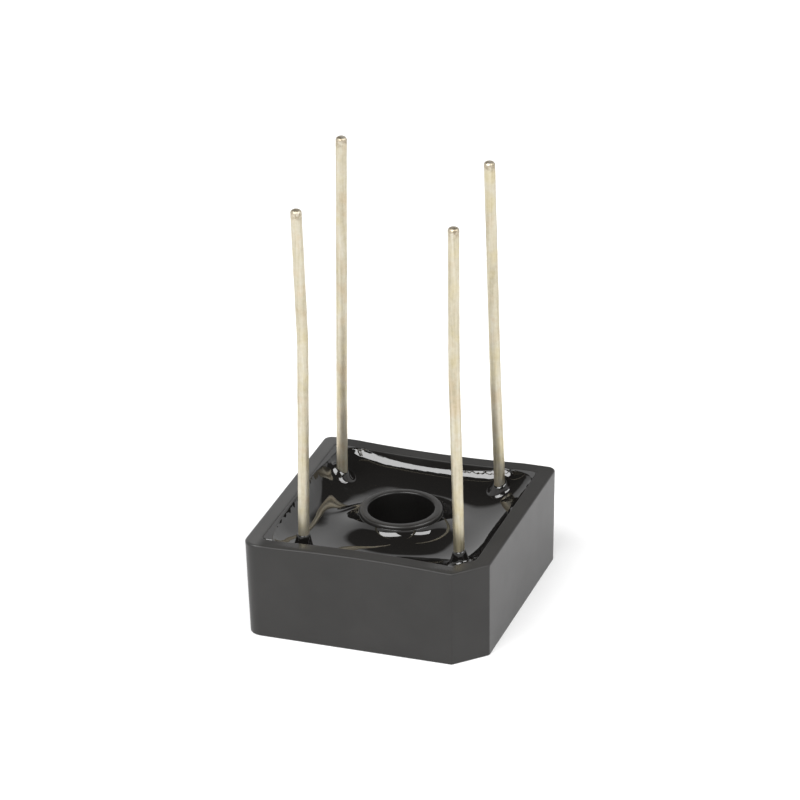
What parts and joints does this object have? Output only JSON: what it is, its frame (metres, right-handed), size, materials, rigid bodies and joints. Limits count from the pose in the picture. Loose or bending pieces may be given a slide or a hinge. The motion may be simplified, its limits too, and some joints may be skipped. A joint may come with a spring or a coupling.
{
  "type": "bridge rectifier",
  "caption": "Small square potted bridge rectifier: an open black plastic cup with a central screw tube, glossy black resin, and tinned wire leads standing up from it.",
  "frame": {"origin": "centre of the screw hole in the flat mounting face", "axes": "+Z out of the mounting face, up the screw tube and the leads; -Y towards the front of the case, whose +X corner is cut across to mark the positive lead"},
  "size_m": [0.0152, 0.0152, 0.0282],
  "materials": {
    "case_plastic": "matte black moulded thermoset with a slight sheen",
    "potting_resin": "glossy black cured epoxy",
    "tinned_wire": "solder-dipped tin, satin with darker streaks",
    "strip_copper": "plain stamped copper strip",
    "silicon_chip": "dark grey silicon, lapped faces",
    "soft_solder": "dull soft solder"
  },
  "bodies": {
    "root": {"case": "case_plastic", "potting_compound": "potting_resin", "lead_positive": "tinned_wire", "strip_positive": "strip_copper", "solder_joint_positive": "soft_solder", "lead_ac_rear": "tinned_wire", "strip_ac_rear": "strip_copper", "solder_joint_ac_rear": "soft_solder", "lead_negative": "tinned_wire", "strip_negative": "strip_copper", "solder_joint_negative": "soft_solder", "lead_ac_front": "tinned_wire", "strip_ac_front": "strip_copper", "solder_joint_ac_front": "soft_solder", "diode_chip_front": "silicon_chip", "solder_below_front": "soft_solder", "solder_above_front": "soft_solder", "diode_chip_right": "silicon_chip", "solder_below_right": "soft_solder", "solder_above_right": "soft_solder", "diode_chip_rear": "silicon_chip", "solder_below_rear": "soft_solder", "solder_above_rear": "soft_solder", "diode_chip_left": "silicon_chip", "solder_below_left": "soft_solder", "solder_above_left": "soft_solder"}
  },
  "joints": []
}
